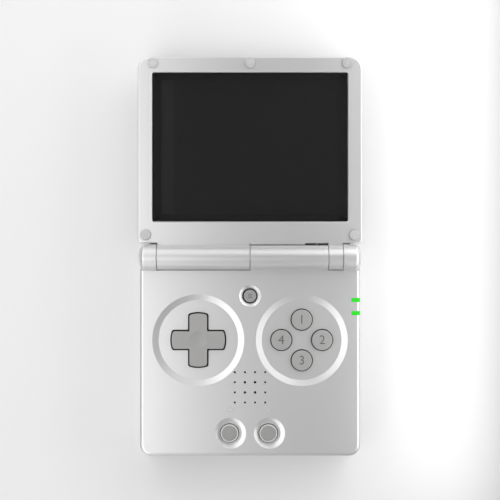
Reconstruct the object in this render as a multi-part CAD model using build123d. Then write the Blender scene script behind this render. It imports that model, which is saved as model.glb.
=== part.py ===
"""Clamshell handheld LCD game, lying open at 180 degrees on its base.

The frame is +X to the player's right, +Y from the controls towards the screen and +Z up out of the
controls. The origin is the middle of the open footprint, on the table. All sizes are millimetres.
"""

import os

from build123d import *

# Overall sizes. A reach is measured from the hinge axis, towards the player or towards the lid's far edge.
LID_WIDTH = 89.0
BASE_WIDTH = 87.3
LID_REACH = 79.6
BASE_REACH = 78.6
CLOSED_HEIGHT = 26.9
BASE_HEIGHT = 16.6
FOOT_PROUD = 0.6
CLOSED_GAP = 1.0

BASE_TOP = FOOT_PROUD + BASE_HEIGHT
LID_THICKNESS = CLOSED_HEIGHT - BASE_TOP - CLOSED_GAP
HINGE_Y = (BASE_REACH - LID_REACH) / 2
HINGE_Z = BASE_TOP + CLOSED_GAP / 2
LID_FACE = 2 * HINGE_Z - BASE_TOP - CLOSED_GAP
LID_BACK = LID_FACE - LID_THICKNESS

# Walls and corners of the two halves.
WALL = 1.8
THIN_WALL = 1.5
BASE_PLATE = 2.2
BASE_FLOOR = 1.6
BASE_FRONT_CORNER = 4.5
BASE_REAR_CORNER = 3.0
BASE_TOP_EDGE = 1.3
BASE_BOTTOM_EDGE = 2.4
LID_PLATE = 1.5
LID_FAR_CORNER = 5.0
LID_NEAR_CORNER = 1.5
LID_FACE_EDGE = 0.6
LID_BACK_EDGE = 2.4
LIP = 0.9
LIP_HEIGHT = 1.2
FIT = 0.05
SEAM = 0.15

BASE_X = BASE_WIDTH / 2
BASE_FRONT = HINGE_Y - BASE_REACH
BASE_BACK = HINGE_Y + 5.0
BASE_SPLIT = FOOT_PROUD + 8.8
BASE_CEILING = BASE_TOP - BASE_PLATE
LID_X = LID_WIDTH / 2
LID_NEAR = HINGE_Y + 5.66
LID_FAR = HINGE_Y + LID_REACH
LID_SPLIT = LID_FACE - 4.4
NEAR_LIP_X = (0.15, 21.8)
NEAR_LIP = 0.55

# Hinge barrel, from the left cap to the right one.
KNUCKLE_R = 4.8
TROUGH_R = KNUCKLE_R + 0.3
CAP_R = 5.2
CAP_X = (36.9, 44.1)
CAP_DOME = 2.3
CAP_BORE_END = 41.0
LEFT_KNUCKLE_X = (-36.7, -0.1)
CENTRE_KNUCKLE_X = (0.15, 30.85)
RIGHT_KNUCKLE_X = (31.1, 36.7)
SEAT_X = 36.85
SHELF_Z = HINGE_Z - TROUGH_R
CARTRIDGE_R = 3.2
SHAFT_R = 1.6
CENTRE_PIN_R = 1.5
SLEEVE_R = 3.2
RUNNING = 0.05

# Controls on the base's face. A distance is measured from the hinge axis towards the player.
PAD_X = 20.5
PAD_DISTANCE = 32.7
DISH_OUTER_R = 18.2
DISH_FLOOR_R = 15.8
DISH_DEPTH = 1.0
DPAD_REACH = 10.55
DPAD_ARM = 7.0
DPAD_GAP = 0.55
DPAD_TOP = BASE_TOP + 0.5
FACE_BUTTON_OFFSET = 8.08
FACE_BUTTON_R = 4.1
FACE_BUTTON_TOP = BASE_TOP + 0.6
MENU_DISTANCE = 15.2
MENU_R = 2.55
MENU_DISH_R = 4.35
MENU_TOP = BASE_TOP + 0.1
START_X = 7.7
START_SHIFT = -0.45
START_DISTANCE = 69.6
START_R = 3.55
START_DISH_R = 6.15
START_TOP = BASE_TOP + 0.3
SMALL_DISH_DEPTH = 0.8
BUTTON_GAP = 0.3
BUTTON_FOOT_Z = 13.8
FACE_TRAVEL = 0.8
START_TRAVEL = 0.6
MENU_FOOT_Z = 12.75
DPAD_FOOT_Z = 13.3
DPAD_POST_Z = 12.5
PIVOT_R = 1.0
DIMPLE_R = 9.0
DIMPLE_DEPTH = 0.7
MEMBRANE = 0.8
GRILLE_DISTANCE = 51.4
GRILLE_PITCH = 4.0
LED_DISTANCES = (16.8, 22.0)
LED_X = 40.1
LED_WIDTH = 1.6

# Screen, centred at this distance from the hinge axis towards the lid's far edge.
SCREEN_DISTANCE = 43.8
WINDOW = (77.7, 59.2)
WINDOW_CORNER = 0.8
WINDOW_RIM = 0.3
GLASS_DROP = 0.3
GLASS_THICKNESS = 1.1
GLASS_GAP = 0.12
TAPE = 0.1
SIGHT = (72.4, 54.8)
LCD_OUTLINE = (76.5, 61.0)
LCD_CELL = 1.4
LCD_TRAY = 1.8
SCREEN_Y = HINGE_Y + SCREEN_DISTANCE
GLASS_TOP = LID_FACE - GLASS_DROP
LEDGE_TOP = GLASS_TOP - GLASS_THICKNESS - TAPE
LEDGE_BOTTOM = LEDGE_TOP - 0.8
LCD_TOP = LEDGE_BOTTOM - 0.1

# Bumpers over the lid's screws: (x, distance from the hinge axis).
FAR_BUMPERS = ((-38.5, 77.1), (38.5, 77.1))
MIDDLE_BUMPER = ((0.0, 77.1),)
NEAR_BUMPERS = ((-41.4, 9.0), (41.4, 9.0))
BUMPER_R = 2.05
BUMPER_PROUD = 0.9
BUMPER_POCKET = 0.5

# Circuit board, battery and what is on the edges.
BOARD = 1.0
BOARD_TOP = BASE_SPLIT + BOARD
BOARD_X = 41.0
BOARD_Y = (BASE_FRONT + 2.7, HINGE_Y - 7.8)
BATTERY = (60.0, 38.0, 5.5)
BATTERY_Y = -42.0
DOOR = (64.0, 44.0)
BASE_SCREWS = ((-38.2, -74.0), (38.2, -74.0), (-38.2, -12.0), (38.2, -12.0))
FEET = ((-30.0, -73.5), (30.0, -73.5), (-30.0, -2.5), (30.0, -2.5))
FOOT_R = 3.5
FOOT_POCKET = 0.5
SHOULDERS_X = ((13.5, 26.5), (27.5, 40.4))
SHOULDER_Z = (2.6, 7.6)
SHOULDER_PROUD = 1.0
PORT = (8.94, 3.26, 7.3)
PORT_Z = BASE_SPLIT - PORT[1] / 2
JACK_X = -22.0
JACK_Z = BASE_SPLIT - 3.1
JACK_BORE_R = 1.8
JACK_NOSE_R = 2.9
CARD_XS = (11.0, 27.5)
CARD_SLOT = (12.0, 1.2)
CARD_Z = BASE_SPLIT - 0.9
SIDE_KEY_Z = 12.7
SIDE_KEY_HEIGHT = 2.6
POWER_Y = -36.0
POWER_LENGTH = 7.0
VOLUME_Y = -32.0
VOLUME_LENGTH = 14.0
SIDE_KEY_PROUD = 0.15
POWER_BACK_X = 40.5
VOLUME_BACK_X = 40.3


# ---------------------------------------------------------------- shapes used by several sub-parts


def block(x, y, z):
    """Box between three pairs of coordinates."""
    size = [high - low for low, high in (x, y, z)]
    middle = [(low + high) / 2 for low, high in (x, y, z)]
    return Pos(*middle) * Box(*size)


def centred(size, x, y, z):
    """Box of a (width, depth) about (x, y), between two heights."""
    return block((x - size[0] / 2, x + size[0] / 2), (y - size[1] / 2, y + size[1] / 2), z)


def plate(x, y, z, near, far):
    """Flat block with its vertical corners rounded, by one radius at its near side and one at its far side."""
    outline = Pos((x[0] + x[1]) / 2, (y[0] + y[1]) / 2) * Rectangle(x[1] - x[0], y[1] - y[0])
    outline = fillet(outline.vertices().group_by(Axis.Y)[0], near)
    outline = fillet(outline.vertices().group_by(Axis.Y)[-1], far)
    return Pos(0, 0, z[0]) * extrude(outline, z[1] - z[0])


def pane(size, x, y, z, corner):
    """Rounded rectangular plate of a (width, depth) about (x, y)."""
    return plate((x - size[0] / 2, x + size[0] / 2), (y - size[1] / 2, y + size[1] / 2), z, corner, corner)


def disc(radius, x, y, z):
    """Upright cylinder between two heights."""
    return Pos(x, y, (z[0] + z[1]) / 2) * Cylinder(radius, z[1] - z[0])


def along_x(radius, x, y=HINGE_Y, z=HINGE_Z):
    """Cylinder parallel to X, on the hinge axis unless told otherwise."""
    return Pos((x[0] + x[1]) / 2, y, z) * Rot(0, 90, 0) * Cylinder(radius, x[1] - x[0])


def along_y(radius, x, y, z):
    """Cylinder parallel to Y."""
    return Pos(x, (y[0] + y[1]) / 2, z) * Rot(90, 0, 0) * Cylinder(radius, y[1] - y[0])


def mirrored(shape):
    """The same shape on the other side of the middle plane."""
    return mirror(shape, Plane.YZ)


def group(shapes):
    """Separate solids that share one node."""
    return Compound(children=[solid for shape in shapes for solid in shape.solids()])


def top_edges(shape):
    return shape.edges().group_by(Axis.Z)[-1]


def bottom_edges(shape):
    return shape.edges().group_by(Axis.Z)[0]


def from_hinge(distance):
    """Y of a place on the base, from its distance to the hinge axis."""
    return HINGE_Y - distance


def pad_places():
    """Centres of the four face buttons: right, near, left, far."""
    y = from_hinge(PAD_DISTANCE)
    step = FACE_BUTTON_OFFSET
    return {
        "right": (PAD_X + step, y),
        "near": (PAD_X, y - step),
        "left": (PAD_X - step, y),
        "far": (PAD_X, y + step),
    }


def cross(reach, arm, z):
    """Plus-shaped block whose arm ends are arcs about its centre."""
    outline = (Rectangle(2 * reach, arm) + Rectangle(arm, 2 * reach)) & Circle(reach)
    tips = [v for v in outline.vertices() if Vector(v).length > arm]
    outline = fillet(tips, 1.0)
    inner = [v for v in outline.vertices() if Vector(v).length < arm * 0.8]
    outline = fillet(inner, 0.45)
    return Pos(-PAD_X, from_hinge(PAD_DISTANCE), z[0]) * extrude(outline, z[1] - z[0])


def dish(outer, floor, depth, x, y):
    """Conical recess in the base's face."""
    return Pos(x, y, BASE_TOP - depth / 2) * Cone(floor, outer, depth)


def base_block(z, inset=0.0):
    """The base's outline between two heights, or that outline moved inwards."""
    return plate(
        (-BASE_X + inset, BASE_X - inset),
        (BASE_FRONT + inset, BASE_BACK - inset),
        z,
        BASE_FRONT_CORNER - inset,
        BASE_REAR_CORNER - inset,
    )


def lid_block(z, inset=0.0):
    """The lid's outline between two heights, or that outline moved inwards."""
    return plate(
        (-LID_X + inset, LID_X - inset),
        (LID_NEAR + inset, LID_FAR - inset),
        z,
        max(LID_NEAR_CORNER - inset, 0.3),
        LID_FAR_CORNER - inset,
    )


# ---------------------------------------------------------------- base shells


def led_slots(clearance=0.0):
    """The two bars that the indicator light pipes fill, through the base's top right edge."""
    half = LED_WIDTH / 2 + clearance
    x = (LED_X - clearance, BASE_X + 1)
    z = (13.8 - clearance, BASE_TOP + 1)
    ys = [from_hinge(distance) for distance in LED_DISTANCES]
    return [block(x, (y - half, y + half), z) for y in ys]


def hinge_surround():
    """Material kept around the hinge trough when the base is hollowed."""
    x = (-BASE_X, BASE_X)
    around = along_x(TROUGH_R + THIN_WALL, x)
    behind = block(x, (HINGE_Y, BASE_BACK), (SHELF_Z - THIN_WALL, BASE_TOP))
    return around + behind


def trough(x):
    """Room for one lid knuckle and its web: round in front and open behind."""
    return along_x(TROUGH_R, x) + block(x, (HINGE_Y, BASE_BACK + 1), (SHELF_Z, BASE_TOP + 6))


def cap_seat():
    """Room for the right end cap of the hinge."""
    x = (SEAT_X, BASE_X + 2)
    behind = block(x, (HINGE_Y, BASE_BACK + 1), (HINGE_Z - 3.6, BASE_TOP + 6))
    return along_x(CAP_R + 0.02, x) + behind


def control_openings():
    """Every recess and hole for the controls on the base's face."""
    pad_y = from_hinge(PAD_DISTANCE)
    through = (BASE_CEILING - 1, BASE_TOP + 1)
    cuts = [dish(DISH_OUTER_R, DISH_FLOOR_R, DISH_DEPTH, side * PAD_X, pad_y) for side in (-1, 1)]
    cuts.append(cross(DPAD_REACH + DPAD_GAP, DPAD_ARM + 2 * DPAD_GAP, through))
    cuts += [disc(FACE_BUTTON_R + BUTTON_GAP, x, y, through) for x, y in pad_places().values()]
    menu_y = from_hinge(MENU_DISTANCE)
    cuts.append(dish(MENU_DISH_R, MENU_R + 0.5, SMALL_DISH_DEPTH, 0, menu_y))
    cuts.append(disc(MENU_R + 0.45, 0, menu_y, through))
    start_y = from_hinge(START_DISTANCE)
    for side in (-1, 1):
        cuts.append(dish(START_DISH_R, START_R + 0.9, SMALL_DISH_DEPTH, side * START_X, start_y))
        cuts.append(disc(START_R + BUTTON_GAP, side * START_X + START_SHIFT, start_y, through))
    for column in range(4):
        for row in range(4):
            inner = column in (1, 2) and row in (1, 2)
            x = (column - 1.5) * GRILLE_PITCH
            y = from_hinge(GRILLE_DISTANCE) + (row - 1.5) * GRILLE_PITCH
            cuts.append(disc(0.5 if inner else 0.42, x, y, through))
    return cuts


def side_openings():
    """Windows in the base's walls for the keys, port, jack and card slots."""
    half = SIDE_KEY_HEIGHT / 2 + 0.2
    key_z = (SIDE_KEY_Z - half, SIDE_KEY_Z + half)
    power_y = (POWER_Y - POWER_LENGTH / 2 - 0.2, POWER_Y + POWER_LENGTH / 2 + 0.2)
    volume_y = (VOLUME_Y - VOLUME_LENGTH / 2 - 0.35, VOLUME_Y + VOLUME_LENGTH / 2 + 0.35)
    cuts = [
        block((BASE_X - WALL - 1, BASE_X + 1), power_y, key_z),
        block((-BASE_X - 1, -BASE_X + WALL + 1), volume_y, key_z),
    ]
    slot_y = (BASE_BACK - WALL - 0.5, BASE_BACK + 0.5)
    port_z = (PORT_Z - PORT[1] / 2 - 0.1, PORT_Z + PORT[1] / 2 + 0.1)
    cuts.append(block((-PORT[0] / 2 - 0.1, PORT[0] / 2 + 0.1), slot_y, port_z))
    shoulder_z = (SHOULDER_Z[0] - 0.2, SHOULDER_Z[1] + 0.2)
    for low, high in SHOULDERS_X:
        window = block((low - 0.2, high + 0.2), slot_y, shoulder_z)
        cuts += [window, mirrored(window)]
    front = (BASE_FRONT - 1, BASE_FRONT + WALL + 0.5)
    cuts.append(along_y(JACK_NOSE_R + 0.1, JACK_X, front, JACK_Z))
    for x in CARD_XS:
        slot_z = (CARD_Z - CARD_SLOT[1] / 2, CARD_Z + CARD_SLOT[1] / 2)
        cuts.append(block((x - CARD_SLOT[0] / 2, x + CARD_SLOT[0] / 2), front, slot_z))
    return cuts


def base_top_shell():
    """Face of the base with its side walls, the middle hinge knuckle and four screw bosses."""
    shell = base_block((BASE_SPLIT, BASE_TOP))
    shell = fillet(top_edges(shell), BASE_TOP_EDGE)
    shell = chamfer(bottom_edges(shell), SEAM)
    hollow = base_block((BASE_SPLIT - 1, BASE_CEILING), WALL) - hinge_surround()
    shell -= hollow
    shell -= base_block((BASE_SPLIT - 1, BASE_SPLIT + LIP_HEIGHT + 0.1), WALL - LIP - FIT)
    shell += hinge_surround() & base_block((SHELF_Z - THIN_WALL, BASE_TOP - BASE_TOP_EDGE))
    for x in (LEFT_KNUCKLE_X, RIGHT_KNUCKLE_X):
        shell -= trough((x[0] - 0.15, x[1] + 0.25))
    shell += along_x(KNUCKLE_R, CENTRE_KNUCKLE_X)
    shell -= cap_seat()
    shell -= mirrored(cap_seat())
    shell -= along_x(CENTRE_PIN_R, (CENTRE_KNUCKLE_X[0], 8.0))
    shell -= along_x(SLEEVE_R, (12.0, CENTRE_KNUCKLE_X[1]))
    shell -= block((14.0, 28.0), (HINGE_Y - 2, HINGE_Y + 2), (SHELF_Z - THIN_WALL - 1, HINGE_Z))
    for x, y in BASE_SCREWS:
        shell += disc(2.6, x, y, (BOARD_TOP, BASE_CEILING))
        shell -= disc(0.9, x, y, (BOARD_TOP, BASE_CEILING - 0.5))
    shell -= control_openings()
    shell -= led_slots(FIT)
    shell -= side_openings()
    return shell


def base_bottom_shell():
    """Tray under the base, with the battery bay, screw posts and the lip that the top shell fits over."""
    floor_top = FOOT_PROUD + BASE_FLOOR
    tray = base_block((FOOT_PROUD, BASE_SPLIT))
    tray = fillet(bottom_edges(tray), BASE_BOTTOM_EDGE)
    tray = chamfer(top_edges(tray), SEAM)
    tray -= base_block((floor_top, BASE_SPLIT + 1), WALL)
    lip_z = (BASE_SPLIT - 0.5, BASE_SPLIT + LIP_HEIGHT)
    tray += base_block(lip_z, WALL - LIP) - base_block((BASE_SPLIT - 1, BASE_SPLIT + 2), WALL)
    for x, y in BASE_SCREWS:
        tray += disc(3.0, x, y, (floor_top, BASE_SPLIT))
        tray -= disc(2.0, x, y, (0, 3.4))
        tray -= disc(1.0, x, y, (3.4, BASE_SPLIT + 2))
    for x, y in FEET:
        tray -= disc(FOOT_R, x, y, (0, FOOT_PROUD + FOOT_POCKET))
    tray -= pane(DOOR, 0, BATTERY_Y, (0, FOOT_PROUD + 1.2), 2.0)
    bay = (DOOR[0] - 3, DOOR[1] - 3)
    tray -= pane(bay, 0, BATTERY_Y, (0, floor_top + 1), 1.5)
    rail_z = (floor_top, 7.0)
    for side in (-1, 1):
        x = side * (bay[0] / 2 + 1.0)
        tray += centred((1.2, bay[1] - 6), x, BATTERY_Y, rail_z)
    tray -= centred((6, 3.8), 0, BATTERY_Y - DOOR[1] / 2 - 1.6, (0, FOOT_PROUD + 1.2))
    tray -= disc(0.8, 0, BATTERY_Y - DOOR[1] / 2 - 1.5, (0, floor_top))
    tray -= side_openings()
    return tray


def battery_door():
    """Flush hatch with two hooks at its far side, a screw tab at its near side and grip ribs."""
    z = (FOOT_PROUD, FOOT_PROUD + 1.15)
    near = BATTERY_Y - DOOR[1] / 2
    far = BATTERY_Y + DOOR[1] / 2
    door = pane((DOOR[0] - 0.3, DOOR[1] - 0.3), 0, BATTERY_Y, z, 1.85)
    door += centred((5.7, 3.7), 0, near - 1.45, z)
    door -= disc(1.0, 0, near - 1.5, (0, 3))
    door -= disc(1.9, 0, near - 1.5, (0, FOOT_PROUD + 0.5))
    for side in (-1, 1):
        x = (side * 20 - 4, side * 20 + 4)
        hook = block(x, (far - 2.9, far - 1.6), (z[1], z[1] + 1.1))
        tongue = block(x, (far - 2.9, far + 0.4), (z[1] + 0.55, z[1] + 1.1))
        door += hook + tongue
    for rib in range(7):
        y = BATTERY_Y + 12 - rib * 1.6
        door -= centred((14, 0.7), 0, y, (0, FOOT_PROUD + 0.3))
    return door


# ---------------------------------------------------------------- inside the base


def battery_pack():
    z = (FOOT_PROUD + BASE_FLOOR + 0.3, FOOT_PROUD + BASE_FLOOR + 0.3 + BATTERY[2])
    pack = pane(BATTERY[:2], 0, BATTERY_Y, z, 1.5)
    return fillet(pack.edges().filter_by(Plane.XY), 0.8)


def main_board():
    """Circuit board over the battery, with a tongue at the back that carries the charging port."""
    z = (BASE_SPLIT, BOARD_TOP)
    board = plate((-BOARD_X, BOARD_X), BOARD_Y, z, 2.0, 1.0)
    board += block((-9, 9), (BOARD_Y[1] - 2, HINGE_Y + 2.4), z)
    board += block((13, 29), (BOARD_Y[1] - 2, HINGE_Y - 3.0), z)
    for x, y in BASE_SCREWS:
        board -= disc(1.1, x, y, (0, 20))
    board -= centred((13.4, 15.4), 0, from_hinge(GRILLE_DISTANCE), (0, 20))
    return board


def processor_shield():
    """Pressed can over the processor, under the board."""
    z = (BASE_SPLIT - 1.2, BASE_SPLIT)
    return pane((16, 16), -20, -17, z, 0.8)


def speaker():
    y = from_hinge(GRILLE_DISTANCE)
    body = pane((13, 15), 0, y, (BOARD_TOP - 0.6, 13.6), 1.5)
    return body + pane((11.5, 13.5), 0, y, (13.6, 14.2), 1.2)


def speaker_gasket():
    """Foam frame that seals the speaker against the inside of the grille."""
    y = from_hinge(GRILLE_DISTANCE)
    z = (14.2, BASE_CEILING - 0.12)
    return pane((14.4, 15.6), 0, y, z, 1.5) - pane((13.2, 13.6), 0, y, (14, 16), 1.0)


def grille_cloth():
    y = from_hinge(GRILLE_DISTANCE)
    return pane((14.4, 15.6), 0, y, (BASE_CEILING - 0.12, BASE_CEILING), 1.5)


def dome(x, y, low, top, foot):
    """One collapsible silicone key: a short cone with a flat contact on top."""
    return Pos(x, y, (low + top) / 2) * Cone(foot, foot * 0.72, top - low)


def dpad_membrane():
    x0, y0 = -PAD_X, from_hinge(PAD_DISTANCE)
    sheet = disc(12.0, x0, y0, (BOARD_TOP, BOARD_TOP + MEMBRANE))
    for dx, dy in ((7.3, 0), (-7.3, 0), (0, 7.3), (0, -7.3)):
        sheet += dome(x0 + dx, y0 + dy, BOARD_TOP + 0.6, DPAD_FOOT_Z - 0.7, 2.6)
    return sheet - disc(3.0, x0, y0, (0, 20))


def face_button_membrane():
    sheet = disc(13.2, PAD_X, from_hinge(PAD_DISTANCE), (BOARD_TOP, BOARD_TOP + MEMBRANE))
    for x, y in pad_places().values():
        sheet += dome(x, y, BOARD_TOP + 0.6, BUTTON_FOOT_Z - FACE_TRAVEL - FIT, 4.0)
    return sheet


def start_select_membrane():
    y = from_hinge(START_DISTANCE)
    sheet = pane((26, 10), START_SHIFT, y, (BOARD_TOP, BOARD_TOP + MEMBRANE), 3.0)
    dome_top = BUTTON_FOOT_Z - START_TRAVEL - FIT
    for side in (-1, 1):
        sheet += dome(side * START_X + START_SHIFT, y, BOARD_TOP + 0.6, dome_top, 3.4)
    return sheet


def menu_switch():
    """Small square switch under the menu button."""
    y = from_hinge(MENU_DISTANCE)
    body = centred((4.5, 4.5), 0, y, (BOARD_TOP, BOARD_TOP + 1.8))
    return body + disc(1.2, 0, y, (BOARD_TOP + 1.8, MENU_FOOT_Z - 0.35))


def side_switches():
    """Switches behind the power key and under each end of the volume rocker."""
    z = (BOARD_TOP, SIDE_KEY_Z + 1.2)
    power = block((36.8, 39.6), (POWER_Y - 2, POWER_Y + 2), z)
    power += along_x(0.7, (39.6, 40.0), POWER_Y, SIDE_KEY_Z)
    switches = [power]
    for side in (-1, 1):
        y = VOLUME_Y + side * 4.2
        switch = block((-39.0, -36.2), (y - 1.8, y + 1.8), z)
        switches.append(switch + along_x(0.7, (-39.6, -39.0), y, SIDE_KEY_Z))
    return group(switches)


def shoulder_boards():
    """Small upright boards behind the shoulder buttons, each with two switches."""
    boards = []
    for side in (-1, 1):
        x = sorted((side * 14.5, side * 40.0))
        board = block(x, (-2.6, -1.8), (2.4, 9.0))
        for low, high in SHOULDERS_X:
            middle = side * (low + high) / 2
            board += block((middle - 1.8, middle + 1.8), (-1.8, -0.5), (3.6, 6.6))
            board += along_y(0.8, middle, (-0.5, 0.65), 5.1)
        boards.append(board)
    return group(boards)


def usb_port():
    """Steel shell of the charging port with its contact tongue."""
    y = (BASE_BACK - PORT[2], BASE_BACK - 0.1)
    width, height = PORT[:2]
    outline = RectangleRounded(width, height, 1.2)
    opening = RectangleRounded(width - 0.6, height - 0.6, 0.9)
    on_wall = Plane(origin=(0, y[1], PORT_Z), x_dir=(1, 0, 0), z_dir=(0, -1, 0))
    shell = on_wall * (extrude(outline, y[1] - y[0]) - extrude(opening, 6.0))
    return shell + block((-3.3, 3.3), (y[0] + 0.5, y[1] - 0.8), (PORT_Z - 0.35, PORT_Z + 0.35))


def headphone_jack():
    """Jack body against the front wall, with a round nose that fills the hole in it."""
    inner = BASE_FRONT + WALL
    body = block((JACK_X - 3.4, JACK_X + 3.4), (inner, inner + 12.0), (JACK_Z - 3.1, BASE_SPLIT))
    body += along_y(JACK_NOSE_R, JACK_X, (BASE_FRONT, inner), JACK_Z)
    return body - along_y(JACK_BORE_R, JACK_X, (BASE_FRONT - 1, inner + 11.0), JACK_Z)


def card_sockets():
    """Two memory-card sockets under the board, behind the slots in the front wall."""
    sockets = []
    y = (BASE_FRONT + WALL + 0.2, BASE_FRONT + WALL + 14.5)
    for x in CARD_XS:
        z = (BASE_SPLIT - 1.8, BASE_SPLIT)
        socket = block((x - 7, x + 7), y, z)
        slot_z = (CARD_Z - 0.45, CARD_Z + 0.45)
        socket -= block((x - 5.6, x + 5.6), (y[0] - 1, y[1] - 1.5), slot_z)
        sockets.append(socket)
    return group(sockets)


def led_light_pipes():
    """Clear green bars that carry light to the top right edge, flush with the shell outside."""
    skin = fillet(top_edges(base_block((BASE_SPLIT, BASE_TOP))), BASE_TOP_EDGE)
    return group([skin & slot for slot in led_slots()])


def led_chips():
    return group([centred((1.6, 0.8), LED_X - 0.6, from_hinge(d), (BOARD_TOP, 11.2)) for d in LED_DISTANCES])


def hall_sensor():
    """Chip that senses the lid's magnet, on the board's top."""
    return centred((3.0, 1.8), -33.0, BASE_FRONT + 6.0, (BOARD_TOP, BOARD_TOP + 1.0))


def base_screws():
    """Screws from the underside through the tray and the board into the top shell's bosses."""
    screws = []
    for x, y in BASE_SCREWS:
        screw = disc(1.8, x, y, (2.2, 3.4)) + disc(0.9, x, y, (3.4, 13.0))
        screws.append(screw - centred((2.4, 0.5), x, y, (2.2, 2.8)) - centred((0.5, 2.4), x, y, (2.2, 2.8)))
    return group(screws)


def battery_door_screw():
    y = BATTERY_Y - DOOR[1] / 2 - 1.5
    screw = disc(1.75, 0, y, (FOOT_PROUD, FOOT_PROUD + 0.5)) + disc(0.8, 0, y, (FOOT_PROUD + 0.5, 3.6))
    z = (FOOT_PROUD - 1, FOOT_PROUD + 0.3)
    return screw - centred((2.4, 0.5), 0, y, z) - centred((0.5, 2.4), 0, y, z)


def feet():
    return group([disc(FOOT_R - 0.05, x, y, (0, FOOT_PROUD + FOOT_POCKET)) for x, y in FEET])


# ---------------------------------------------------------------- controls


def dpad():
    """Cross-shaped key with a dimple in its middle, a retaining flange and a post over the pivot ball."""
    y = from_hinge(PAD_DISTANCE)
    key = cross(DPAD_REACH, DPAD_ARM, (DPAD_FOOT_Z, DPAD_TOP))
    key = fillet(top_edges(key), 0.45)
    key -= Pos(-PAD_X, y, DPAD_TOP + DIMPLE_R - DIMPLE_DEPTH) * Sphere(DIMPLE_R)
    key += disc(11.8, -PAD_X, y, (DPAD_FOOT_Z, DPAD_FOOT_Z + 0.8))
    return key + disc(2.0, -PAD_X, y, (DPAD_POST_Z, DPAD_FOOT_Z))


def dpad_pivot():
    """Ball that the cross rocks on."""
    return Pos(-PAD_X, from_hinge(PAD_DISTANCE), DPAD_POST_Z - PIVOT_R - FIT) * Sphere(PIVOT_R)


def push_button(x, y, radius, top, flange, low, edge):
    """Round button with a softened rim and a flange that keeps it under the shell."""
    stem = disc(radius, x, y, (low, top))
    stem = fillet(top_edges(stem), edge)
    return stem + disc(flange, x, y, (low, BASE_CEILING - FIT))


def face_button(place):
    x, y = pad_places()[place]
    return push_button(x, y, FACE_BUTTON_R, FACE_BUTTON_TOP, 5.2, BUTTON_FOOT_Z, 0.5)


def menu_button():
    return push_button(0, from_hinge(MENU_DISTANCE), MENU_R, MENU_TOP, 3.4, MENU_FOOT_Z, 0.4)


def start_button(side):
    """Start or select button: side is +1 or -1. Its face is sunk inside a thin rim."""
    x, y = side * START_X + START_SHIFT, from_hinge(START_DISTANCE)
    button = push_button(x, y, START_R, START_TOP, 4.4, BUTTON_FOOT_Z, 0.3)
    return button - Pos(x, y, START_TOP - 0.05) * Cone(3.1, 3.25, 0.12)


def shoulder_button(span, side):
    """Key through a window in the back wall, with a flange inside."""
    body_y = (1.5, BASE_BACK + SHOULDER_PROUD)
    key = block(span, body_y, SHOULDER_Z)
    key = fillet(key.edges().group_by(Axis.Y)[-1], 0.6)
    flange_z = (SHOULDER_Z[0] - 0.15, SHOULDER_Z[1] + 0.8)
    key += block((span[0] - 0.35, span[1] + 0.35), (1.5, BASE_BACK - WALL - FIT), flange_z)
    return key if side > 0 else mirrored(key)


def power_button():
    half = SIDE_KEY_HEIGHT / 2
    y = (POWER_Y - POWER_LENGTH / 2, POWER_Y + POWER_LENGTH / 2)
    key = block((POWER_BACK_X, BASE_X + SIDE_KEY_PROUD), y, (SIDE_KEY_Z - half, SIDE_KEY_Z + half))
    key = fillet(key.edges().group_by(Axis.X)[-1], 0.4)
    flange_z = (SIDE_KEY_Z - half - 0.6, SIDE_KEY_Z + half + 0.6)
    return key + block((POWER_BACK_X, BASE_X - WALL - FIT), (y[0] - 1, y[1] + 1), flange_z)


def volume_rocker():
    half = SIDE_KEY_HEIGHT / 2
    y = (VOLUME_Y - VOLUME_LENGTH / 2, VOLUME_Y + VOLUME_LENGTH / 2)
    key = block((-BASE_X - SIDE_KEY_PROUD, -VOLUME_BACK_X), y, (SIDE_KEY_Z - half, SIDE_KEY_Z + half))
    key = fillet(key.edges().group_by(Axis.X)[0], 0.4)
    flange_z = (SIDE_KEY_Z - half - 0.6, SIDE_KEY_Z + half + 0.6)
    return key + block((-BASE_X + WALL + 0.6, -VOLUME_BACK_X), (y[0] - 1, y[1] + 1), flange_z)


# ---------------------------------------------------------------- hinge


def hinge_cap(side):
    """Domed end of the barrel, fixed to the base, bored inside for the shaft or the cable sleeve."""
    straight = CAP_X[1] - CAP_DOME
    sides = Polyline((CAP_X[0], 0), (CAP_X[0], CAP_R), (straight, CAP_R))
    end = EllipticalCenterArc((straight, 0), CAP_DOME, CAP_R, start_angle=0, arc_size=90)
    half = make_face(sides + end + Line((CAP_X[1], 0), (CAP_X[0], 0)))
    cap = revolve(half, Axis.X)
    bore = SLEEVE_R if side > 0 else SHAFT_R
    cap = Pos(0, HINGE_Y, HINGE_Z) * cap - along_x(bore, (CAP_X[0], CAP_BORE_END))
    return cap if side > 0 else mirrored(cap)


def hinge_shaft():
    """Steel shaft fixed in the left cap, with the collar that clamps the friction pack."""
    return along_x(SHAFT_R, (-CAP_BORE_END, -22.0)) + along_x(2.3, (-24.0, -22.0))


def hinge_cartridge():
    """Steel tube pressed into the lid's left knuckle. It turns on the shaft."""
    tube = along_x(CARTRIDGE_R, (-36.6, -20.0))
    tube -= along_x(SHAFT_R + RUNNING, (-36.6, -30.0))
    return tube - along_x(2.6, (-35.4, -21.0))


def hinge_friction_washers():
    """Friction washers round the shaft, turning with the lid."""
    hole = along_x(SHAFT_R + RUNNING, (-36, -24))
    return group([along_x(2.6, (x, x + 0.8)) - hole for x in (-35.4, -34.3, -33.2)])


def hinge_disc_springs():
    """Coned disc springs that load the friction washers, turning with the lid."""
    springs = []
    for turn in range(6):
        x = -32.3 + turn * 1.3
        profile = Polyline((x, 1.75), (x + 0.5, 1.75), (x + 1.0, 2.5), (x + 0.5, 2.5), close=True)
        springs.append(Pos(0, HINGE_Y, HINGE_Z) * revolve(make_face(profile), Axis.X))
    return group(springs)


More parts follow.
